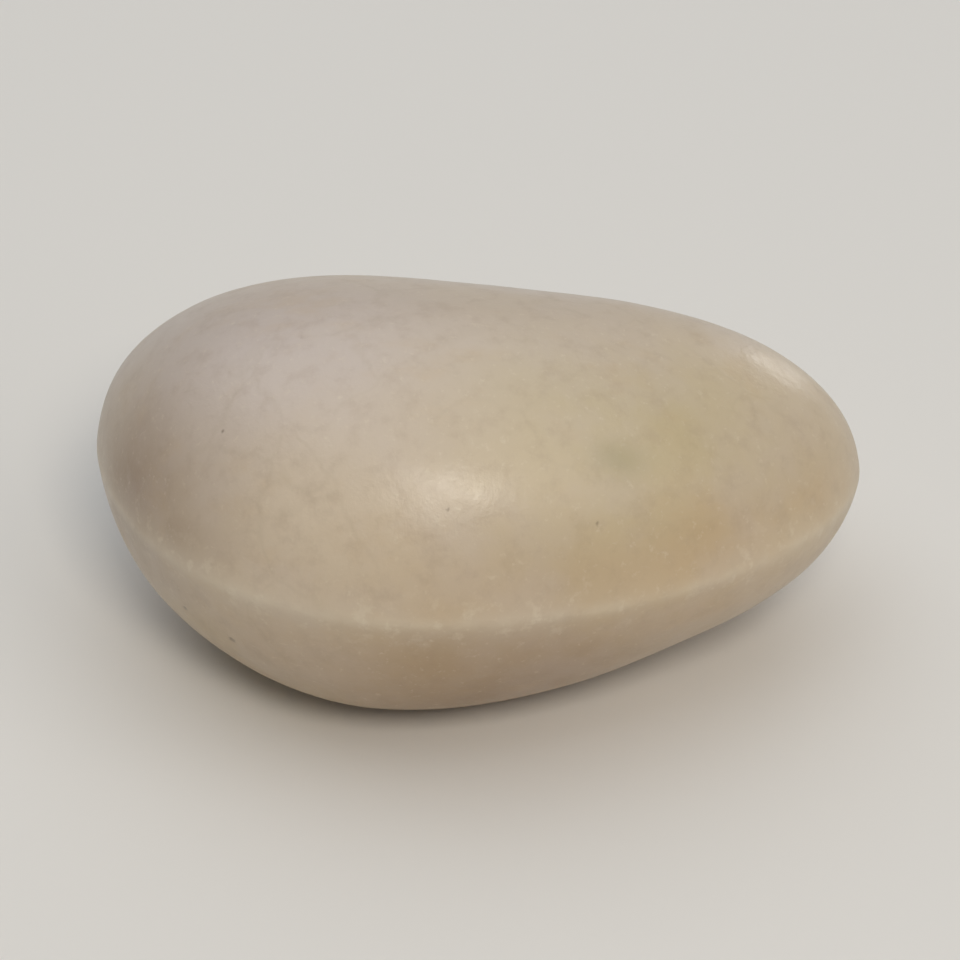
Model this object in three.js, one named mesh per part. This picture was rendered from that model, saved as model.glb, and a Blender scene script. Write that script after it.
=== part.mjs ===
// One dried shell bean, lying flat on a broad face as a loose seed does.
// Lengths are in millimetres and Z is up. X runs along the seed, with its narrower end at +X.
// The keeled back faces -Y and the side that carries the scar faces +Y.
// The origin is the middle of the bottom of the seed's box.

import * as THREE from "three";
import { mergeVertices } from "three/addons/utils/BufferGeometryUtils.js";

// Overall size of the seed as it lies
const LENGTH = 14.0;
const WIDTH = 9.0;
const THICKNESS = 7.2;

// Main form: a tapered oval bent so that the scar side is nearly straight
const TAPER = 0.18; // how much the seed narrows from the blunt end to the other, per half length
const END_FULLNESS = 0.1; // extra girth kept towards both ends
const SECTION_FULLNESS = 0.03; // extra roundness of the shoulders between faces and edges
const BEND = 1.25; // how far the two ends curve towards the scar side
const BEND_SKEW = 0.3; // share by which the blunt end curves more than that, and the other less
const SCAR_SIDE_HOLLOW = 0.22; // depth of the shallow hollow round the scar
const SCAR_SIDE_HOLLOW_REACH = 2.6;
const SCAR_SIDE_FADE = 0.3; // share of the half width over which the scar side's forms fade in

// Ridge round the edge, where the two halves of the seed meet under the coat
const KEEL_HEIGHT = 0.1;
const KEEL_REACH = 0.36;
const EDGE_PINCH = 0.12; // broad rise that leads up to the ridge from both faces
const EDGE_PINCH_REACH = 1.3;
const EDGE_FADE_AT_ENDS = 0.75; // share of the ridge that is gone at the two ends

// Scar where the seed hung in its pod: a sunken oval inside a raised rim
const SCAR_X = 0.25;
const SCAR_HALF_LENGTH = 1.05;
const SCAR_HALF_WIDTH = 0.56;
const SCAR_DEPTH = 0.2;
const SCAR_FLOOR_EDGE = 0.4; // where the sunken floor starts to climb, as a share of the oval
const SCAR_WALL_EDGE = 1.0;
const RIM_HEIGHT = 0.11;
const RIM_REACH = 0.26; // breadth of the rim, as a share of the oval

// Small swelling past one end of the scar, and the low root ridge past the other
const LENS_X = -1.85;
const LENS_HALF_LENGTH = 0.5;
const LENS_HALF_WIDTH = 0.42;
const LENS_HEIGHT = 0.13;
const ROOT_X = 3.1;
const ROOT_HALF_LENGTH = 1.5;
const ROOT_HALF_WIDTH = 0.8;
const ROOT_HEIGHT = 0.13;

// Broad unevenness of a dried seed: direction from the middle, angular reach, height
const UNEVENNESS = [
  { towards: [-0.55, -0.45, 0.7], reach: 0.42, height: 0.09 },
  { towards: [0.45, -0.2, 0.87], reach: 0.36, height: -0.07 },
  { towards: [0.05, 0.75, 0.66], reach: 0.34, height: -0.08 },
  { towards: [-0.8, 0.3, 0.5], reach: 0.34, height: -0.06 },
  { towards: [0.6, 0.35, -0.72], reach: 0.45, height: -0.1 },
  { towards: [-0.35, -0.6, -0.72], reach: 0.4, height: 0.07 },
  { towards: [0.72, -0.6, 0.3], reach: 0.32, height: -0.06 },
  { towards: [0.6, 0.45, 0.66], reach: 0.4, height: 0.1 },
  { towards: [0.42, -0.7, -0.55], reach: 0.42, height: -0.14 },
];

// How the seed settles: its weight lies towards the scar side, so it leans that way, and its
// slimmer end dips a little
const LEAN_DEGREES = 5.0;
const DIP_DEGREES = 1.5;

// Three low points under its weight, on which it rests: places on the plan, anticlockwise. The
// underside is a flat triangle between them, a hair higher, so that only they touch the surface
const RESTING_CORNERS = [
  [-2.0, -0.65],
  [1.0, -0.65],
  [-0.45, 1.85],
];
const RESTING_CLEARANCE = 0.01; // height of the flat triangle over its low corners
const RESTING_FOOT = 0.5; // how far from a corner the triangle has climbed to that height
const RESTING_RISE = 0.02; // least slope of the underside outside the triangle

// Mesh steps, crowded towards the scar along the length and towards the edge round the girth
const GIRTH_STEPS = 72;
const LENGTH_STEPS = 50;
const GIRTH_CROWDING = 0.5;
const SCAR_SIDE_CROWDING = 0.22;
const LENGTH_CROWDING = 0.75;

// Coat
const COAT_COLOR = 0xbfb29c;
const COAT_ROUGHNESS = 0.48;

const HALF = new THREE.Vector3(LENGTH / 2, WIDTH / 2, THICKNESS / 2);

// A hump that is 1 at its middle and fades to nothing a few reaches away
function hump(distance, reach) {
  const share = distance / reach;
  return Math.exp(-share * share);
}

function ovalHump(x, z, middleX, halfLength, halfWidth) {
  return hump(Math.hypot((x - middleX) / halfLength, z / halfWidth), 1);
}

// Moves a direction so that the mesh steps crowd where the seed has detail
function crowdedDirection(even) {
  const station = Math.acos(THREE.MathUtils.clamp(even.x, -1, 1));
  const turn = Math.atan2(even.z, even.y);
  const crowdedStation = station + (LENGTH_CROWDING / 2) * Math.sin(2 * station);
  const toBothEdges = (GIRTH_CROWDING / 2) * Math.sin(2 * turn);
  const toScarSide = SCAR_SIDE_CROWDING * Math.sin(turn);
  const crowdedTurn = turn - toBothEdges - toScarSide;
  const girth = Math.sin(crowdedStation);
  return new THREE.Vector3(
    Math.cos(crowdedStation),
    girth * Math.cos(crowdedTurn),
    girth * Math.sin(crowdedTurn),
  );
}

// Smooth body of the seed, before any relief
function bodyPoint(direction) {
  const { x, y, z } = direction;
  const taper = 1 - TAPER * x + END_FULLNESS * x * x;
  const shoulders = 1 + SECTION_FULLNESS * 4 * y * y * z * z;
  const bend = BEND * x * x * (1 - BEND_SKEW * x);
  return new THREE.Vector3(
    HALF.x * x,
    HALF.y * y * taper * shoulders + bend,
    HALF.z * z * taper * shoulders,
  );
}

function outward(direction) {
  return direction.clone().divide(HALF).normalize();
}

// Sunken scar with its rim, as a height over the body
function scarHeight(x, z) {
  const oval = Math.hypot((x - SCAR_X) / SCAR_HALF_LENGTH, z / SCAR_HALF_WIDTH);
  const sunken = 1 - THREE.MathUtils.smoothstep(oval, SCAR_FLOOR_EDGE, SCAR_WALL_EDGE);
  return RIM_HEIGHT * hump(oval - 1, RIM_REACH) - SCAR_DEPTH * sunken;
}

// Everything that only the scar side carries
function scarSideHeight(x, z) {
  const hollow = SCAR_SIDE_HOLLOW * hump(Math.hypot(x - SCAR_X, z), SCAR_SIDE_HOLLOW_REACH);
  const lens = LENS_HEIGHT * ovalHump(x, z, LENS_X, LENS_HALF_LENGTH, LENS_HALF_WIDTH);
  const root = ROOT_HEIGHT * ovalHump(x, z, ROOT_X, ROOT_HALF_LENGTH, ROOT_HALF_WIDTH);
  return scarHeight(x, z) + lens + root - hollow;
}

// Ridge round the edge, lower towards the ends
function edgeHeight(direction, z) {
  const kept = 1 - EDGE_FADE_AT_ENDS * direction.x ** 4;
  return kept * (KEEL_HEIGHT * hump(z, KEEL_REACH) + EDGE_PINCH * hump(z, EDGE_PINCH_REACH));
}

function unevenHeight(direction) {
  let height = 0;
  for (const swelling of UNEVENNESS) {
    const towards = new THREE.Vector3(...swelling.towards).normalize();
    height += swelling.height * hump(direction.angleTo(towards), swelling.reach);
  }
  return height;
}

function surfacePoint(direction) {
  const point = bodyPoint(direction);
  const onScarSide = THREE.MathUtils.smoothstep(direction.y, 0, SCAR_SIDE_FADE);
  const scarSide = onScarSide * scarSideHeight(point.x, point.z);
  const height = edgeHeight(direction, point.z) + unevenHeight(direction) + scarSide;
  return point.addScaledVector(outward(direction), height);
}

// How far a place on the plan lies outside the resting triangle; 0 inside it
function outsideRest(x, y) {
  let outside = 0;
  RESTING_CORNERS.forEach(([startX, startY], i) => {
    const [endX, endY] = RESTING_CORNERS[(i + 1) % RESTING_CORNERS.length];
    const alongX = endX - startX;
    const alongY = endY - startY;
    const beyond = (x - startX) * alongY - (y - startY) * alongX;
    outside = Math.max(outside, beyond / Math.hypot(alongX, alongY));
  });
  return outside;
}

// Least height of the underside over the three low points, at a place on the plan
function restHeight(x, y) {
  const distances = RESTING_CORNERS.map((corner) => Math.hypot(x - corner[0], y - corner[1]));
  const climbed = THREE.MathUtils.smoothstep(Math.min(...distances), 0, RESTING_FOOT);
  return RESTING_CLEARANCE * climbed + RESTING_RISE * outsideRest(x, y);
}

// The mesh point of the underside that lies nearest to a place on the plan
function nearestUnder(position, [x, y]) {
  let nearest = 0;
  let least = Infinity;
  for (let i = 0; i < position.count; i += 1) {
    const distance = Math.hypot(position.getX(i) - x, position.getY(i) - y);
    if (position.getZ(i) < 0 && distance < least) {
      least = distance;
      nearest = i;
    }
  }
  return nearest;
}

// Flattens the resting triangle, with a mesh point moved to each of its corners
function flattenRest(position) {
  const corners = RESTING_CORNERS.map((corner) => nearestUnder(position, corner));
  const floor = Math.max(...corners.map((i) => position.getZ(i)));
  corners.forEach((i, k) => position.setXYZ(i, ...RESTING_CORNERS[k], floor));
  for (let i = 0; i < position.count; i += 1) {
    if (position.getZ(i) < 0) {
      const least = floor + restHeight(position.getX(i), position.getY(i));
      position.setZ(i, Math.max(position.getZ(i), least));
    }
  }
}

// Turns the seed as it settles, and shapes the small spot that it rests on
function settle(geometry) {
  geometry.rotateX(THREE.MathUtils.degToRad(-LEAN_DEGREES));
  geometry.rotateY(THREE.MathUtils.degToRad(DIP_DEGREES));
  flattenRest(geometry.attributes.position);
}

// Brings the box to the seed's overall size, with the origin at the middle of its bottom
function fitToSize(geometry) {
  geometry.computeBoundingBox();
  const box = geometry.boundingBox;
  const size = box.getSize(new THREE.Vector3());
  const middle = box.getCenter(new THREE.Vector3());
  geometry.translate(-middle.x, -middle.y, -box.min.z);
  geometry.scale(LENGTH / size.x, WIDTH / size.y, THICKNESS / size.z);
}

function beanGeometry() {
  const sphere = new THREE.SphereGeometry(1, GIRTH_STEPS, LENGTH_STEPS);
  sphere.deleteAttribute("normal");
  sphere.deleteAttribute("uv");
  const geometry = mergeVertices(sphere);
  geometry.rotateZ(-Math.PI / 2);
  const position = geometry.attributes.position;
  for (let i = 0; i < position.count; i += 1) {
    const even = new THREE.Vector3().fromBufferAttribute(position, i);
    const point = surfacePoint(crowdedDirection(even));
    position.setXYZ(i, point.x, point.y, point.z);
  }
  settle(geometry);
  fitToSize(geometry);
  geometry.computeVertexNormals();
  return geometry;
}

const coat = new THREE.MeshStandardMaterial({
  color: COAT_COLOR,
  roughness: COAT_ROUGHNESS,
  metalness: 0,
});

const bean = new THREE.Mesh(beanGeometry(), coat);
bean.name = "bean";

const model = new THREE.Group();
model.add(bean);

export default model;
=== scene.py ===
import math
import random
from typing import NamedTuple

import bpy
import numpy as np
from mathutils import Matrix, Vector, noise


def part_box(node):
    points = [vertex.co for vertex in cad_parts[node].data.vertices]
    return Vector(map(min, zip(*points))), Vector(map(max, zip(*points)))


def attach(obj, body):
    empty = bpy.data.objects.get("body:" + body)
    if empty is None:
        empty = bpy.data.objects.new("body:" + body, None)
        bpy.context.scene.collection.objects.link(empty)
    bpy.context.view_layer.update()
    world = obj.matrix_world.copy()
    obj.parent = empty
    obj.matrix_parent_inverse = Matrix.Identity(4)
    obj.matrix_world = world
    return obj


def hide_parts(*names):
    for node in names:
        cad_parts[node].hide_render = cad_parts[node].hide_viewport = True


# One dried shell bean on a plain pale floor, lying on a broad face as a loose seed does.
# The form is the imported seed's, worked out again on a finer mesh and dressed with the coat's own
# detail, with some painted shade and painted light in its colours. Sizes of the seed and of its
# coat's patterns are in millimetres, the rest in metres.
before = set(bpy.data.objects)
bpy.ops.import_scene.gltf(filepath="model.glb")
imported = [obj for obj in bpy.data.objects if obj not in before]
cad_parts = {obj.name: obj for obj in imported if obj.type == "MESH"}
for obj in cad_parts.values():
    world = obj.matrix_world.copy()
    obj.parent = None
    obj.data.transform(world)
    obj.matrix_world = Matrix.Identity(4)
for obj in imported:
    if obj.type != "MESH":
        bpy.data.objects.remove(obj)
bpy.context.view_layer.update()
seed_low, seed_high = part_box("bean")

MM = 0.001

# Main form, in the seed's own directions: X to the narrower end, -Y to the keeled back,
# +Y to the side that carries the scar, Z up through the broad faces
LENGTH = 14.0
WIDTH = 9.0
THICKNESS = 7.2
TAPER = 0.18
END_FULLNESS = 0.1
SECTION_FULLNESS = 0.03
BEND = 1.25
BEND_SKEW = 0.3
SCAR_SIDE_HOLLOW = 0.22
SCAR_SIDE_HOLLOW_REACH = 2.6
SCAR_SIDE_FADE = 0.3

# How the seed lies, and the three low points that it rests on, with a flat triangle between them
LEAN = math.radians(5.0)
DIP = math.radians(1.5)
RESTING_CORNERS = [(-2.0, -0.65), (1.0, -0.65), (-0.45, 1.85)]
RESTING_CLEARANCE = 0.01
RESTING_FOOT = 0.5
RESTING_RISE = 0.02

# Ridge round the edge
KEEL_HEIGHT = 0.1
KEEL_REACH = 0.36
EDGE_PINCH = 0.12
EDGE_PINCH_REACH = 1.3
EDGE_FADE_AT_ENDS = 0.75

# Scar, rim, lens and root ridge
SCAR_X = 0.25
SCAR_HALF_LENGTH = 1.05
SCAR_HALF_WIDTH = 0.56
SCAR_DEPTH = 0.2
SCAR_FLOOR_EDGE = 0.4
SCAR_WALL_EDGE = 1.0
RIM_HEIGHT = 0.11
RIM_REACH = 0.26
LENS_X = -1.85
LENS_HALF_LENGTH = 0.5
LENS_HALF_WIDTH = 0.42
LENS_HEIGHT = 0.13
ROOT_X = 3.1
ROOT_HALF_LENGTH = 1.5
ROOT_HALF_WIDTH = 0.8
ROOT_HEIGHT = 0.13

# Broad unevenness: direction from the middle, angular reach, height
UNEVENNESS = [
    ((-0.55, -0.45, 0.7), 0.42, 0.09),
    ((0.45, -0.2, 0.87), 0.36, -0.07),
    ((0.05, 0.75, 0.66), 0.34, -0.08),
    ((-0.8, 0.3, 0.5), 0.34, -0.06),
    ((0.6, 0.35, -0.72), 0.45, -0.1),
    ((-0.35, -0.6, -0.72), 0.4, 0.07),
    ((0.72, -0.6, 0.3), 0.32, -0.06),
    ((0.6, 0.45, 0.66), 0.4, 0.1),
    ((0.42, -0.7, -0.55), 0.42, -0.14),
]

# Mesh steps and how they crowd towards the edge and the scar
GIRTH_STEPS = 320
LENGTH_STEPS = 300
GIRTH_CROWDING = 0.25
SCAR_SIDE_CROWDING = 0.3
LENGTH_CROWDING = 0.4

HALF = np.array([LENGTH, WIDTH, THICKNESS]) / 2


def hump(distance, reach):
    """1 at the middle, fading to nothing a few reaches away."""
    return np.exp(-((distance / reach) ** 2))


def smoothstep(value, low, high):
    share = np.clip((value - low) / (high - low), 0, 1)
    return share * share * (3 - 2 * share)


def crowded_directions():
    """Unit directions of the mesh's points, one a row: its rings from +X to -X, then both ends."""
    station = np.linspace(0, math.pi, LENGTH_STEPS + 1)[1:-1]
    turn = np.linspace(0, 2 * math.pi, GIRTH_STEPS, endpoint=False)
    station = station + LENGTH_CROWDING / 2 * np.sin(2 * station)
    turn = turn - GIRTH_CROWDING / 2 * np.sin(2 * turn) - SCAR_SIDE_CROWDING * np.sin(turn)
    station, turn = np.meshgrid(station, turn, indexing="ij")
    girth = np.sin(station)
    rings = np.stack([np.cos(station), girth * np.cos(turn), girth * np.sin(turn)], axis=-1)
    ends = np.array([[1.0, 0, 0], [-1.0, 0, 0]])
    return np.concatenate([rings.reshape(-1, 3), ends])


def ring_faces():
    """Quads between neighbouring rings, and triangles that close the two ends."""
    rings = LENGTH_STEPS - 1
    near_end = rings * GIRTH_STEPS
    far_end = near_end + 1
    faces = []
    for ring in range(rings - 1):
        for step in range(GIRTH_STEPS):
            a = ring * GIRTH_STEPS + step
            b = ring * GIRTH_STEPS + (step + 1) % GIRTH_STEPS
            faces.append((a, a + GIRTH_STEPS, b + GIRTH_STEPS, b))
    last = (rings - 1) * GIRTH_STEPS
    for step in range(GIRTH_STEPS):
        after = (step + 1) % GIRTH_STEPS
        faces.append((near_end, step, after))
        faces.append((far_end, last + after, last + step))
    return faces


def body_points(direction):
    """Smooth body of the seed, before any relief."""
    x, y, z = direction.T
    taper = 1 - TAPER * x + END_FULLNESS * x * x
    shoulders = 1 + SECTION_FULLNESS * 4 * y * y * z * z
    bend = BEND * x * x * (1 - BEND_SKEW * x)
    return np.stack([
        HALF[0] * x,
        HALF[1] * y * taper * shoulders + bend,
        HALF[2] * z * taper * shoulders,
    ], axis=-1)


def outward(direction):
    normal = direction / HALF
    return normal / np.linalg.norm(normal, axis=1, keepdims=True)


def unit(direction):
    return np.array(direction) / np.linalg.norm(direction)


def angle_from(direction, towards):
    return np.arccos(np.clip(direction @ unit(towards), -1, 1))


def oval_distance(x, z, middle_x, half_length, half_width):
    return np.hypot((x - middle_x) / half_length, z / half_width)


def scar_height(x, z):
    oval = oval_distance(x, z, SCAR_X, SCAR_HALF_LENGTH, SCAR_HALF_WIDTH)
    sunken = 1 - smoothstep(oval, SCAR_FLOOR_EDGE, SCAR_WALL_EDGE)
    return RIM_HEIGHT * hump(oval - 1, RIM_REACH) - SCAR_DEPTH * sunken


def scar_side_height(x, z):
    hollow = SCAR_SIDE_HOLLOW * hump(np.hypot(x - SCAR_X, z), SCAR_SIDE_HOLLOW_REACH)
    lens = LENS_HEIGHT * hump(oval_distance(x, z, LENS_X, LENS_HALF_LENGTH, LENS_HALF_WIDTH), 1)
    root = ROOT_HEIGHT * hump(oval_distance(x, z, ROOT_X, ROOT_HALF_LENGTH, ROOT_HALF_WIDTH), 1)
    return scar_height(x, z) + lens + root - hollow


def edge_height(direction, z):
    kept = 1 - EDGE_FADE_AT_ENDS * direction[:, 0] ** 4
    return kept * (KEEL_HEIGHT * hump(z, KEEL_REACH) + EDGE_PINCH * hump(z, EDGE_PINCH_REACH))


def uneven_height(direction):
    height = np.zeros(len(direction))
    for towards, reach, rise in UNEVENNESS:
        height += rise * hump(angle_from(direction, towards), reach)
    return height


def main_height(direction, body, on_scar_side):
    """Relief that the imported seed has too."""
    x, _, z = body.T
    height = edge_height(direction, z) + uneven_height(direction)
    return height + on_scar_side * scar_side_height(x, z)


class Waves(NamedTuple):
    """Smooth random waves: wavelength, one or one for each axis, and a shift of their own."""
    wavelength: float | tuple
    shift: float


# Finer relief that only the dressed seed has, in millimetres

# The waves are shifted in this direction, so that no two patterns lie on each other
SHIFT_ALONG = (1.0, 1.7, -0.6)

# How far the scar keeps the coat's own relief away, as a share of its oval
SCAR_SURROUNDS = 1.6

# Soft dents of a dried coat: pattern, height
DENTS = [
    (Waves(3.2, 35.2), 0.045),
    (Waves(1.5, 16.5), 0.012),
    (Waves(0.7, 7.7), 0.003),
]

# Fine pale line that runs along the top of the ridge, and the wider glow round it; the glow is a
# painted highlight, and the line is partly the ridge's own pale line, partly painted highlight
EDGE_LINE_HEIGHT = 0.012
EDGE_LINE_REACH = 0.13
EDGE_GLOW_REACH = 0.45

# Shallow creases across the ridge, in patches along it
CREASES = Waves((0.42, 1.1, 1.1), 27.0)
CREASE_HEIGHT = 0.006
CREASED_REACH = 1.3
CREASED_PATCHES = Waves(2.4, 21.0)
CREASED_PATCH_EDGE = (-0.1, 0.5)

# Scar floor: a narrow slot down its middle, torn fibres along it, and where on the oval it ends
SLOT_HALF_LENGTH = 0.66
SLOT_HALF_WIDTH = 0.16
SLOT_DEPTH = 0.11
SCAR_FIBRES = Waves((0.34, 0.10, 0.10), 5.0)
SCAR_FIBRE_HEIGHT = 0.028
SCAR_INSIDE_EDGE = (0.7, 1.0)

# Rim of the scar: waves in its height, its ragged edges, and where on the oval its pale top lies
RIM_WAVES = Waves(0.5, 3.0)
RIM_WAVE_HEIGHT = 0.035
RIM_WAVE_REACH = 0.4
RAGGED_EDGE = Waves(0.32, 9.0)
RAGGEDNESS = 0.14
RIM_TOP = 1.08

# Pale halo round the scar, longer along the edge, with an uneven border
HALO_HALF_LENGTH = 2.5
HALO_HALF_WIDTH = 1.2
HALO_BORDER = Waves(1.1, 15.0)
HALO_WOBBLE = 0.45

# Pore at the root end of the scar: a slit whose lip is this many half widths out
PORE_FROM_SCAR = 1.5
PORE_X = SCAR_X + PORE_FROM_SCAR
PORE_HALF_LENGTH = 0.09
PORE_HALF_WIDTH = 0.05
PORE_DEPTH = 0.06
PORE_LIP_AT = 2.0
PORE_LIP = 0.02

# Groove that splits the lens in two
LENS_GROOVE_HALF_WIDTH = 0.09
LENS_GROOVE_DEPTH = 0.05

# Pits: how many, and the least and greatest radius; each is this share of its radius deep
PIT_SEED = 7
PIT_COUNT = 14
PIT_RADIUS = (0.03, 0.09)
PIT_DEPTH_SHARE = 0.22

# One soft olive bruise on the upper face: radii along X, Y and Z
BRUISE_TOWARDS = (0.34, -0.665, 0.67)
BRUISE_RADII = (0.62, 0.36, 0.36)
BRUISE_DEPTH = 0.02

# Zones of tone: direction from the middle, angular reach and strength, for each tone. Some brown
# zones are painted shade and some cream zones painted light, as marked below
TONES = {
    "grey": [
        ((-0.6, -0.1, 0.8), 0.75, 0.9),
        ((0.1, 0.75, 0.6), 0.6, 0.8),
        ((0.1, 0.5, -0.85), 0.7, 0.6),
    ],
    "olive": [
        ((0.38, -0.62, 0.68), 0.5, 0.9),
        ((0.36, -0.8, 0.47), 0.36, 0.85),
        ((-0.6, -0.2, -0.77), 0.5, 0.6),
        ((0.8, 0.6, 0.1), 0.4, 0.5),
    ],
    "ochre": [
        ((0.5, -0.86, 0.03), 0.42, 0.8),
        ((0.85, -0.5, 0.1), 0.3, 0.4),
        ((-0.1, -0.95, -0.3), 0.6, 0.85),
        ((-0.6, 0.75, 0.1), 0.4, 0.6),
    ],
    "cream_and_painted_light": [
        # Cream on the lower front face above the keel: partly the coat's own cream, partly painted
        # light that brightens the side facing the front
        ((-0.45, -0.8, 0.36), 0.42, 0.6),
        ((0.1, -0.75, 0.6), 0.35, 0.25),
        ((-0.7, 0.2, -0.7), 0.4, 0.4),
        ((0.1, 0.97, -0.05), 0.6, 0.6),
    ],
    "brown_and_painted_shade": [
        # Brown at the blunt end: painted shade where the end turns away from the light
        ((-0.9, -0.41, 0.15), 0.3, 1.0),
        ((-0.8, -0.58, 0.12), 0.18, 0.8),
        # Brown on the flank under the keel: painted shade of the underside, partly a browner tone of
        # the coat
        ((0.0, -0.8, -0.6), 0.55, 0.85),
        ((0.0, -0.93, -0.36), 0.36, 0.65),
        ((1.0, 0.1, -0.2), 0.25, 0.3),
    ],
}
TONE_BORDERS = Waves(2.2, 33.0)
TONE_WOBBLE = 0.16


def noise_at(points, waves):
    """Height of the waves at each point, from -1 to 1."""
    shift = Vector([waves.shift * share for share in SHIFT_ALONG])
    places = points / np.asarray(waves.wavelength)
    return np.array([noise.noise(Vector(place) + shift) for place in places])


def pit_places():
    """Seeded pits spread over the coat, as directions with a radius each."""
    draw = random.Random(PIT_SEED)
    least, greatest = PIT_RADIUS
    pits = []
    for _ in range(PIT_COUNT):
        towards = [draw.gauss(0, 1) for _ in range(3)]
        radius = least + (greatest - least) * draw.random() ** 2
        pits.append((unit(towards), radius))
    return pits


def pit_field(points):
    """0 on sound coat and up to 1 in the middle of a pit, with each pit's depth."""
    field = np.zeros(len(points))
    depth = np.zeros(len(points))
    for towards, radius in pit_places():
        middle = body_points(towards[None, :])[0]
        amount = hump(np.linalg.norm(points - middle, axis=1), radius)
        field = np.maximum(field, amount)
        depth += PIT_DEPTH_SHARE * radius * amount
    return field, depth


def bruise_mask(body):
    """The bruise, as an oval on the upper face that is longer along the seed."""
    middle = body_points(unit(BRUISE_TOWARDS)[None, :])[0]
    return hump(np.linalg.norm((body - middle) / BRUISE_RADII, axis=1), 1)


def tone_masks(direction, body):
    """How far each tone of the coat shows at each point, with uneven borders between them; some brown
    zones are painted shade and some cream zones painted light.
    """
    wobble = TONE_WOBBLE * noise_at(body, TONE_BORDERS)
    masks = {}
    for name, zones in TONES.items():
        shown = [
            strength * hump(angle_from(direction, towards) + wobble, reach)
            for towards, reach, strength in zones
        ]
        masks["tone_" + name] = np.max(shown, axis=0)
    return masks


def dressed_scar(body, on_scar_side):
    """Fine relief of the scar, its pore and the lens, with their masks."""
    x, _, z = body.T
    oval = oval_distance(x, z, SCAR_X, SCAR_HALF_LENGTH, SCAR_HALF_WIDTH)
    ragged_oval = oval + RAGGEDNESS * noise_at(body, RAGGED_EDGE)
    slot_oval = oval_distance(x, z, SCAR_X, SLOT_HALF_LENGTH, SLOT_HALF_WIDTH)
    halo_oval = oval_distance(x, z, SCAR_X, HALO_HALF_LENGTH, HALO_HALF_WIDTH)
    pore_oval = oval_distance(x, z, PORE_X, PORE_HALF_LENGTH, PORE_HALF_WIDTH)
    lens_oval = oval_distance(x, z, LENS_X, LENS_HALF_LENGTH, LENS_HALF_WIDTH)
    shown = {
        "scar_inside": 1 - smoothstep(ragged_oval, *SCAR_INSIDE_EDGE),
        "scar_rim": hump(ragged_oval - RIM_TOP, RIM_REACH),
        "scar_halo": hump(halo_oval + HALO_WOBBLE * noise_at(body, HALO_BORDER), 1),
        "slot": hump(slot_oval, 1),
        "pore": hump(pore_oval, 1),
        "lens": hump(lens_oval, 1),
    }
    masks = {name: share * on_scar_side for name, share in shown.items()}

    raised = RIM_WAVE_HEIGHT * noise_at(body, RIM_WAVES) * hump(oval - 1, RIM_WAVE_REACH)
    raised += PORE_LIP * hump(pore_oval - PORE_LIP_AT, 1)
    fibres = SCAR_FIBRE_HEIGHT * noise_at(body, SCAR_FIBRES) * masks["scar_inside"]
    sunken = SLOT_DEPTH * masks["slot"] + PORE_DEPTH * masks["pore"]
    sunken += LENS_GROOVE_DEPTH * masks["lens"] * hump(z, LENS_GROOVE_HALF_WIDTH)
    return raised * on_scar_side + fibres - sunken, masks


def dressed_coat(body, off_scar):
    """Fine relief of the coat, most of it kept off the scar, with its masks."""
    z = body[:, 2]
    pits, pit_depth = pit_field(body)
    masks = {
        # Masks of the ridge: their pale colour is partly a painted highlight, and the scuffs also
        # crowd in the wider one
        "edge_line": hump(z, EDGE_LINE_REACH) * off_scar,
        "ridge_highlight_and_scuffs": hump(z, EDGE_GLOW_REACH) * off_scar,
        "pit": pits * off_scar,
        "bruise": bruise_mask(body),
    }

    dents = sum(height * noise_at(body, waves) for waves, height in DENTS)
    creased = smoothstep(noise_at(body, CREASED_PATCHES), *CREASED_PATCH_EDGE)
    creases = noise_at(body, CREASES) * creased * hump(z, CREASED_REACH)
    raised = dents * off_scar + EDGE_LINE_HEIGHT * masks["edge_line"] + CREASE_HEIGHT * creases
    sunken = pit_depth * off_scar + BRUISE_DEPTH * masks["bruise"]
    return raised - sunken, masks


def dressed_seed():
    """Points of the finished seed in millimetres, with the masks that its coat's colours use."""
    direction = crowded_directions()
    body = body_points(direction)
    x, _, z = body.T
    on_scar_side = smoothstep(direction[:, 1], 0, SCAR_SIDE_FADE)
    scar_oval = oval_distance(x, z, SCAR_X, SCAR_HALF_LENGTH, SCAR_HALF_WIDTH)
    off_scar = 1 - on_scar_side * hump(scar_oval, SCAR_SURROUNDS)

    scar_relief, scar_masks = dressed_scar(body, on_scar_side)
    coat_relief, coat_masks = dressed_coat(body, off_scar)
    height = main_height(direction, body, on_scar_side) + scar_relief + coat_relief
    points = body + outward(direction) * height[:, None]
    return points, {**scar_masks, **coat_masks, **tone_masks(direction, body)}


def outside_rest(places):
    """How far each place on the plan lies outside the resting triangle; 0 inside it."""
    outside = np.zeros(len(places))
    for start, end in zip(RESTING_CORNERS, RESTING_CORNERS[1:] + RESTING_CORNERS[:1]):
        along = np.subtract(end, start)
        across = np.array([along[1], -along[0]]) / np.linalg.norm(along)
        outside = np.maximum(outside, (places - start) @ across)
    return outside


def rest_height(places):
    """Least height of the underside over its three low points, at each place on the plan."""
    distances = [np.linalg.norm(places - corner, axis=1) for corner in RESTING_CORNERS]
    climbed = smoothstep(np.min(distances, axis=0), 0, RESTING_FOOT)
    return RESTING_CLEARANCE * climbed + RESTING_RISE * outside_rest(places)


def flattened(points):
    """Flattens the triangle under the seed, between the three low points that it rests on."""
    under = points[points[:, 2] < 0]
    nearest = [np.linalg.norm(under[:, :2] - corner, axis=1).argmin() for corner in RESTING_CORNERS]
    least = under[nearest, 2].max() + rest_height(points[:, :2])
    heights = np.where(points[:, 2] < 0, np.maximum(points[:, 2], least), points[:, 2])
    return np.column_stack([points[:, :2], heights])


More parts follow.
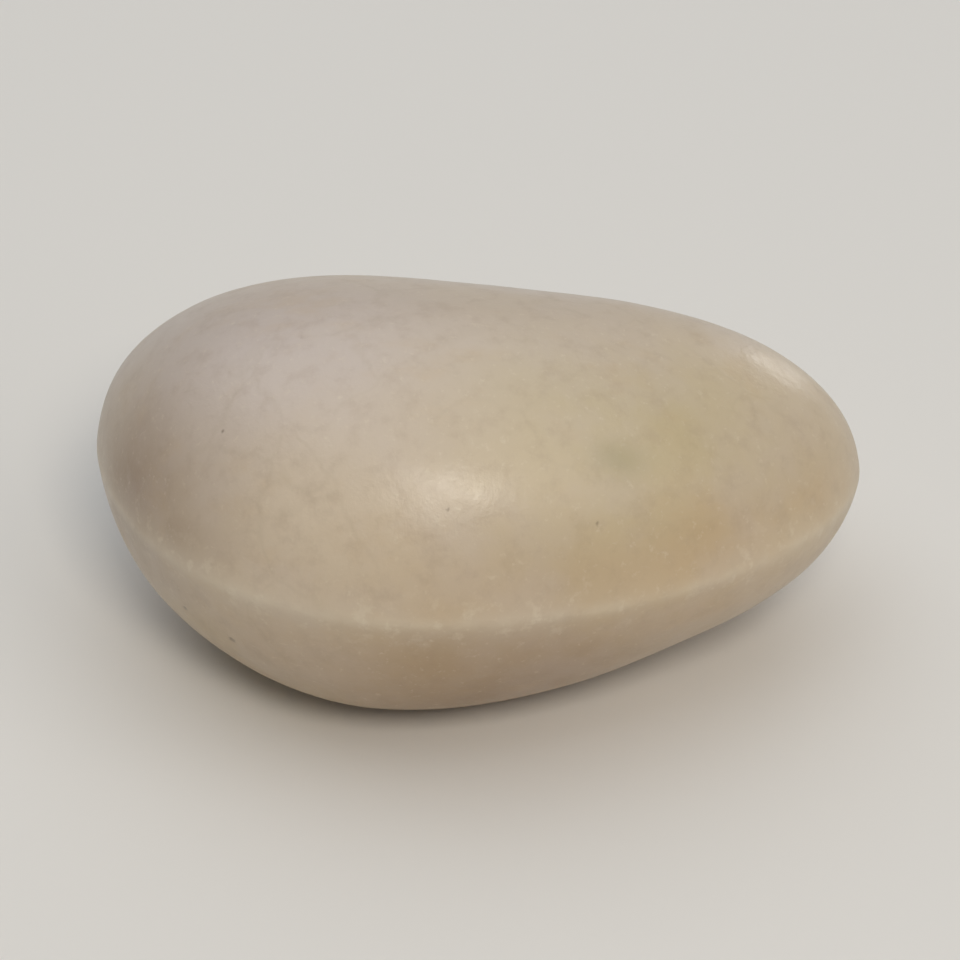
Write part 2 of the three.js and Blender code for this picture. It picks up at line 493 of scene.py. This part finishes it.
def settled(points):
    """Turns the seed as it settles, shapes its resting spot and fits it to the frame."""
    turn = np.array(Matrix.Rotation(DIP, 3, "Y") @ Matrix.Rotation(-LEAN, 3, "X"))
    turned = flattened(points @ turn.T)
    low, high = turned.min(axis=0), turned.max(axis=0)
    box_low, box_high = np.array(seed_low), np.array(seed_high)
    return box_low + (turned - low) / (high - low) * (box_high - box_low)


def make_seed():
    points, masks = dressed_seed()
    mesh = bpy.data.meshes.new("seed")
    mesh.from_pydata(settled(points).tolist(), [], ring_faces())
    mesh.polygons.foreach_set("use_smooth", [True] * len(mesh.polygons))
    for name, values in masks.items():
        layer = mesh.attributes.new(name, "FLOAT", "POINT")
        layer.data.foreach_set("value", values.astype(np.float32))
    mesh.update()
    seed = bpy.data.objects.new("seed", mesh)
    bpy.context.scene.collection.objects.link(seed)
    return seed


# Coat colours, as linear values
COAT_TAN = (0.600, 0.490, 0.355, 1)
COAT_GREY = (0.590, 0.505, 0.460, 1)
COAT_OCHRE = (0.550, 0.395, 0.222, 1)
# Brown of the mottling and of a patch at the narrow end, also painted shade on the blunt end and the
# flank
COAT_BROWN = (0.335, 0.232, 0.152, 1)
# Pale of the flecks and scuffs, also used for the painted highlight along the ridge
COAT_PALE = (0.750, 0.660, 0.515, 1)
TONE_COLOURS = {
    "grey": COAT_GREY,
    "olive": (0.525, 0.430, 0.250, 1),
    "ochre": COAT_OCHRE,
    # Cream of the scar side and of the front face, where it is partly painted light
    "cream_and_painted_light": (0.760, 0.640, 0.490, 1),
    "brown_and_painted_shade": COAT_BROWN,
}
VEIN = (0.400, 0.320, 0.215, 1)
BRUISE = (0.330, 0.290, 0.165, 1)
SCAR_PALE = (0.790, 0.720, 0.565, 1)
SCAR_DARK = (0.110, 0.098, 0.062, 1)
SCAR_FLOOR = (0.370, 0.335, 0.230, 1)
PIT_DARK = (0.160, 0.110, 0.070, 1)


class Grain(NamedTuple):
    """A noise texture: wavelength in millimetres, detail, roughness, and fineness along each axis."""
    wavelength: float
    detail: float = 2.0
    roughness: float = 0.5
    fineness: tuple = None


class Marks(NamedTuple):
    """Marks on the coat: pattern, where in its range they start and are full, amount and colour."""
    grain: Grain
    edge: tuple
    amount: float
    colour: tuple


# Soft clouds and blotches that break up the zones of tone
CLOUDS = Marks(Grain(2.6, 4.0, 0.6), (0.42, 0.68), 0.25, COAT_GREY)
BLOTCHES = Marks(Grain(1.3, 4.0, 0.6, (0.7, 1.2, 1.2)), (0.5, 0.75), 0.25, COAT_OCHRE)

# Small marks: dark mottling, pale flecks, and pale scuffs that crowd on the ridge, with the share
# of them that shows elsewhere
MOTTLING = Marks(Grain(0.42, 5.0, 0.65), (0.45, 0.75), 0.2, COAT_BROWN)
FLECKS = Marks(Grain(0.14, 3.0, 0.65), (0.58, 0.76), 0.28, COAT_PALE)
SCUFFS = Marks(Grain(0.35, 4.0, 0.65), (0.54, 0.68), 0.35, COAT_PALE)
SCUFFS_OFF_THE_RIDGE = 0.1

# Net of veins: size of its cells, how they are bent, the veins' half width as a share of a cell,
# the patches in which they show, and how much
VEIN_CELL = 1.7
VEIN_BEND_LENGTH = 0.9
VEIN_BEND = 0.8
VEIN_HALF_WIDTH = 0.05
VEIN_PATCHES = Grain(2.2)
VEIN_PATCH_EDGE = (0.42, 0.62)
VEIN_AMOUNT = 0.10

# How much the bruise, the pits and the pale ridge show, and where in a pit its dark starts; the pale
# ridge is partly a painted highlight
BRUISE_AMOUNT = 0.42
PIT_EDGE = (0.25, 0.8)
PIT_AMOUNT = 0.6
EDGE_GLOW_AMOUNT = 0.2
EDGE_LINE_AMOUNT = 0.32

# What breaks up the pale line and the halo: pattern, its edge, and the least that it leaves
BROKEN = Grain(0.5, 3.0)
BROKEN_EDGE = (0.35, 0.6)
BROKEN_LEAST = 0.4

# How much each part of the scar shows, and where the dark of the slot and the pore starts and ends
HALO_AMOUNT = 0.7
LENS_AMOUNT = 0.22
RIM_AMOUNT = 0.8
SCAR_INSIDE_AMOUNT = 0.9
FIBRES = Grain(0.12, 4.0, 0.65, (0.3, 1.0, 1.0))
FIBRE_EDGE = (0.42, 0.66)
FIBRE_AMOUNT = 0.75
SLOT_EDGE = (0.3, 0.85)
SLOT_AMOUNT = 0.85
PORE_EDGE = (0.2, 0.75)

# Satin gloss: least and greatest roughness over the coat
GLOSS = Grain(0.8, 4.0, 0.65)
GLOSS_EDGE = (0.3, 0.7)
GLOSS_ROUGHNESS = (0.31, 0.41)
COAT_IOR = 1.54

# Fine bump: its height in millimetres, its wrinkles, and the shares of grain and veins in it
RELIEF_HEIGHT = 0.012
WRINKLES = Grain(0.3, 4.0, 0.55, (1.0, 0.8, 0.8))
FINE_GRAIN = Grain(0.07, 3.0, 0.6)
FINE_GRAIN_SHARE = 0.3
RAISED_VEIN_SHARE = 0.15

# The Mix node's sockets for colours, which have the same names as its sockets for other values
MIX_A = 6
MIX_B = 7
MIX_RESULT = 2


class Nodes:
    """Short helpers for one material's node tree."""

    def __init__(self, name):
        self.material = bpy.data.materials.new(name)
        self.material.use_nodes = True
        self.tree = self.material.node_tree
        self.shader = self.tree.nodes["Principled BSDF"]
        self.place = self.tree.nodes.new("ShaderNodeTexCoord").outputs["Object"]

    def add(self, kind, **values):
        node = self.tree.nodes.new(kind)
        for key, value in values.items():
            setattr(node, key, value)
        return node

    def link(self, output, socket):
        self.tree.links.new(output, socket)

    def feed(self, value, socket):
        """Links an output to a socket, or sets the socket to a plain number or colour."""
        if isinstance(value, (int, float, tuple)):
            socket.default_value = value
        else:
            self.link(value, socket)

    def stretched(self, scale):
        """The seed's coordinates, scaled by one factor for each axis."""
        node = self.add("ShaderNodeMapping")
        self.link(self.place, node.inputs["Vector"])
        node.inputs["Scale"].default_value = scale
        return node.outputs["Vector"]

    def noise(self, grain):
        place = self.stretched(grain.fineness) if grain.fineness else self.place
        node = self.add("ShaderNodeTexNoise")
        self.link(place, node.inputs["Vector"])
        node.inputs["Scale"].default_value = 1 / (grain.wavelength * MM)
        node.inputs["Detail"].default_value = grain.detail
        node.inputs["Roughness"].default_value = grain.roughness
        return node.outputs["Fac"]

    def bent(self, wavelength, amount):
        """The seed's coordinates, pushed about by noise; both lengths are in millimetres."""
        push = self.add("ShaderNodeTexNoise")
        self.link(self.place, push.inputs["Vector"])
        push.inputs["Scale"].default_value = 1 / (wavelength * MM)
        scaled = self.add("ShaderNodeVectorMath", operation="SCALE")
        self.link(push.outputs["Color"], scaled.inputs["Vector"])
        scaled.inputs["Scale"].default_value = amount * MM
        moved = self.add("ShaderNodeVectorMath", operation="ADD")
        self.link(self.place, moved.inputs[0])
        self.link(scaled.outputs["Vector"], moved.inputs[1])
        return moved.outputs["Vector"]

    def cell_edges(self, size, place):
        """Distance to the nearest edge of a net of cells, as a share of their size."""
        node = self.add("ShaderNodeTexVoronoi", feature="DISTANCE_TO_EDGE")
        self.link(place, node.inputs["Vector"])
        node.inputs["Scale"].default_value = 1 / (size * MM)
        return node.outputs["Distance"]

    def mask(self, name):
        return self.add("ShaderNodeAttribute", attribute_name=name).outputs["Fac"]

    def spread(self, value, edge, to_low=0.0, to_high=1.0):
        """Turns a value smoothly from one number to another as it crosses an edge."""
        node = self.add("ShaderNodeMapRange", interpolation_type="SMOOTHSTEP")
        self.link(value, node.inputs["Value"])
        node.inputs["From Min"].default_value, node.inputs["From Max"].default_value = edge
        node.inputs["To Min"].default_value = to_low
        node.inputs["To Max"].default_value = to_high
        return node.outputs["Result"]

    def math(self, operation, a, b):
        node = self.add("ShaderNodeMath", operation=operation)
        self.feed(a, node.inputs[0])
        self.feed(b, node.inputs[1])
        return node.outputs["Value"]

    def times(self, a, b):
        return self.math("MULTIPLY", a, b)

    def mix(self, factor, a, b):
        node = self.add("ShaderNodeMix", data_type="RGBA")
        self.feed(factor, node.inputs[0])
        self.feed(a, node.inputs[MIX_A])
        self.feed(b, node.inputs[MIX_B])
        return node.outputs[MIX_RESULT]

    def show(self, under, mask, amount, over):
        """Lays one colour over another as far as a mask and an amount let it show."""
        return self.mix(self.times(mask, amount), under, over)

    def marked(self, colour, marks):
        """Lays one kind of marks over a colour."""
        pattern = self.spread(self.noise(marks.grain), marks.edge)
        return self.show(colour, pattern, marks.amount, marks.colour)


def coat_tones(n):
    """Broad zones of tone, some brown ones painted shade and some cream ones painted light, then soft
    clouds and blotches that break them up.
    """
    colour = COAT_TAN
    for name, tone in TONE_COLOURS.items():
        colour = n.mix(n.mask("tone_" + name), colour, tone)
    return n.marked(n.marked(colour, CLOUDS), BLOTCHES)


def vein_net(n):
    """Faint net of veins, fading in and out: 1 on a vein and 0 off it."""
    edges = n.cell_edges(VEIN_CELL, n.bent(VEIN_BEND_LENGTH, VEIN_BEND))
    line = n.spread(edges, (0.0, VEIN_HALF_WIDTH), 1.0, 0.0)
    return n.times(line, n.spread(n.noise(VEIN_PATCHES), VEIN_PATCH_EDGE))


def coat_marks(n, colour, veins):
    """Veins, mottling, pale worn spots, the bruise and the pits."""
    colour = n.show(colour, veins, VEIN_AMOUNT, VEIN)
    colour = n.marked(n.marked(colour, MOTTLING), FLECKS)
    scuffs = n.spread(n.noise(SCUFFS.grain), SCUFFS.edge)
    worn = n.times(scuffs, n.math("ADD", n.mask("ridge_highlight_and_scuffs"), SCUFFS_OFF_THE_RIDGE))
    colour = n.show(colour, worn, SCUFFS.amount, SCUFFS.colour)
    colour = n.show(colour, n.mask("bruise"), BRUISE_AMOUNT, BRUISE)
    return n.mix(n.spread(n.mask("pit"), PIT_EDGE, 0.0, PIT_AMOUNT), colour, PIT_DARK)


def ridge_colours(n, colour, broken):
    """Painted highlight of the ridge: a pale glow round it, and the broken pale line along its top,
    which is partly the ridge's own pale line.
    """
    colour = n.show(colour, n.mask("ridge_highlight_and_scuffs"), EDGE_GLOW_AMOUNT, COAT_PALE)
    return n.show(colour, n.times(n.mask("edge_line"), broken), EDGE_LINE_AMOUNT, COAT_PALE)


def scar_floor_colour(n):
    """Grey-olive floor with torn pale fibres along it, darker in the slot."""
    fibres = n.spread(n.noise(FIBRES), FIBRE_EDGE, 0.0, FIBRE_AMOUNT)
    colour = n.mix(fibres, SCAR_FLOOR, SCAR_PALE)
    slot = n.spread(n.mask("slot"), SLOT_EDGE, 0.0, SLOT_AMOUNT)
    return n.mix(slot, colour, SCAR_DARK)


def scar_colours(n, colour, broken):
    """The scar with its halo, rim, floor and pore, and the lens beside it."""
    colour = n.show(colour, n.times(n.mask("scar_halo"), broken), HALO_AMOUNT, SCAR_PALE)
    colour = n.show(colour, n.mask("lens"), LENS_AMOUNT, SCAR_FLOOR)
    colour = n.show(colour, n.mask("scar_rim"), RIM_AMOUNT, SCAR_PALE)
    colour = n.show(colour, n.mask("scar_inside"), SCAR_INSIDE_AMOUNT, scar_floor_colour(n))
    return n.mix(n.spread(n.mask("pore"), PORE_EDGE), colour, SCAR_DARK)


def coat_bump(n, veins):
    """Fine grain, long shallow wrinkles and slightly raised veins, as one bump."""
    relief = n.math("ADD", n.times(n.noise(FINE_GRAIN), FINE_GRAIN_SHARE), n.noise(WRINKLES))
    relief = n.math("ADD", relief, n.times(veins, RAISED_VEIN_SHARE))
    bump = n.add("ShaderNodeBump")
    bump.inputs["Strength"].default_value = 1.0
    bump.inputs["Distance"].default_value = RELIEF_HEIGHT * MM
    n.link(relief, bump.inputs["Height"])
    n.link(bump.outputs["Normal"], n.shader.inputs["Normal"])


def coat_material():
    """Dried seed coat: plain grey-beige with soft zones of tone, some of them painted shade and
    painted light, a painted highlight along the ridge, a satin gloss and a fine grain.
    """
    n = Nodes("seed_coat")
    veins = vein_net(n)
    colour = coat_marks(n, coat_tones(n), veins)
    broken = n.spread(n.noise(BROKEN), BROKEN_EDGE, BROKEN_LEAST, 1.0)
    colour = ridge_colours(n, colour, broken)
    colour = scar_colours(n, colour, broken)
    n.link(colour, n.shader.inputs["Base Color"])
    gloss = n.spread(n.noise(GLOSS), GLOSS_EDGE, *GLOSS_ROUGHNESS)
    n.link(gloss, n.shader.inputs["Roughness"])
    n.shader.inputs["IOR"].default_value = COAT_IOR
    coat_bump(n, veins)
    return n.material


# Floor: a pale matt square, a hair under the seed
FLOOR_HALF = 1.5
FLOOR_DROP = 0.01 * MM
FLOOR_COLOUR = (0.77, 0.745, 0.71, 1)
FLOOR_ROUGHNESS = 0.9

# Even light from all round
WORLD_COLOUR = (0.92, 0.96, 1.0, 1)
WORLD_STRENGTH = 0.17


class Softbox(NamedTuple):
    """A square soft light that faces the seed; its angles are in degrees and its power in watts."""
    azimuth: float
    elevation: float
    distance: float
    size: float
    power: float
    colour: tuple


SOFTBOXES = {
    "key": Softbox(10, 49, 0.30, 0.085, 0.29, (1.0, 0.93, 0.82)),
    "sky": Softbox(-160, 72, 0.42, 0.65, 1.2, (0.92, 0.96, 1.0)),
    "side": Softbox(60, 42, 0.40, 0.30, 0.28, (1.0, 0.96, 0.90)),
    "rim": Softbox(150, 4, 0.40, 0.06, 0.085, (1.0, 0.98, 0.95)),
}

# Camera: the photograph's viewing angle, through a long lens
CAMERA_AZIMUTH = -2
CAMERA_ELEVATION = 38
CAMERA_LENS = 250.0
CAMERA_SENSOR = 36.0
CAMERA_RANGE = (0.01, 10)
SEED_SHARE_OF_WIDTH = 0.8


def make_floor():
    mesh = bpy.data.meshes.new("floor")
    corners = [(-1, -1), (1, -1), (1, 1), (-1, 1)]
    points = [(FLOOR_HALF * x, FLOOR_HALF * y, -FLOOR_DROP) for x, y in corners]
    mesh.from_pydata(points, [], [(0, 1, 2, 3)])
    floor = bpy.data.objects.new("floor", mesh)
    bpy.context.scene.collection.objects.link(floor)
    material = bpy.data.materials.new("floor")
    material.use_nodes = True
    shader = material.node_tree.nodes["Principled BSDF"]
    shader.inputs["Base Color"].default_value = FLOOR_COLOUR
    shader.inputs["Roughness"].default_value = FLOOR_ROUGHNESS
    mesh.materials.append(material)


def aim(obj, target):
    obj.rotation_euler = (obj.location - target).to_track_quat("Z", "Y").to_euler()


def outlook(azimuth, elevation):
    """Direction from the seed, for angles in degrees; azimuth 0 is -Y and grows towards +X."""
    azimuth, elevation = math.radians(azimuth), math.radians(elevation)
    flat = Vector((math.sin(azimuth), -math.cos(azimuth), 0)) * math.cos(elevation)
    return flat + Vector((0, 0, math.sin(elevation)))


def make_softbox(name, softbox):
    light = bpy.data.lights.new(name, "AREA")
    light.shape = "SQUARE"
    light.size = softbox.size
    light.energy = softbox.power
    light.color = softbox.colour
    box = bpy.data.objects.new(name, light)
    box.location = softbox.distance * outlook(softbox.azimuth, softbox.elevation)
    aim(box, Vector((0, 0, 0)))
    bpy.context.scene.collection.objects.link(box)


def light_scene():
    world = bpy.data.worlds.new("studio")
    world.use_nodes = True
    background = world.node_tree.nodes["Background"]
    background.inputs["Color"].default_value = WORLD_COLOUR
    background.inputs["Strength"].default_value = WORLD_STRENGTH
    bpy.context.scene.world = world
    for name, softbox in SOFTBOXES.items():
        make_softbox(name, softbox)
    bpy.context.scene.view_settings.view_transform = "Standard"


def make_camera():
    middle = (Vector(seed_low) + Vector(seed_high)) / 2
    width = seed_high[0] - seed_low[0]
    distance = width / SEED_SHARE_OF_WIDTH * CAMERA_LENS / CAMERA_SENSOR
    camera = bpy.data.objects.new("camera", bpy.data.cameras.new("camera"))
    camera.data.lens = CAMERA_LENS
    camera.data.sensor_width = CAMERA_SENSOR
    camera.location = middle + distance * outlook(CAMERA_AZIMUTH, CAMERA_ELEVATION)
    aim(camera, middle)
    camera.data.clip_start, camera.data.clip_end = CAMERA_RANGE
    bpy.context.scene.collection.objects.link(camera)
    bpy.context.scene.camera = camera


make_camera()
light_scene()
make_floor()

seed = make_seed()
seed.data.materials.append(coat_material())
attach(seed, "root")
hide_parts("bean")
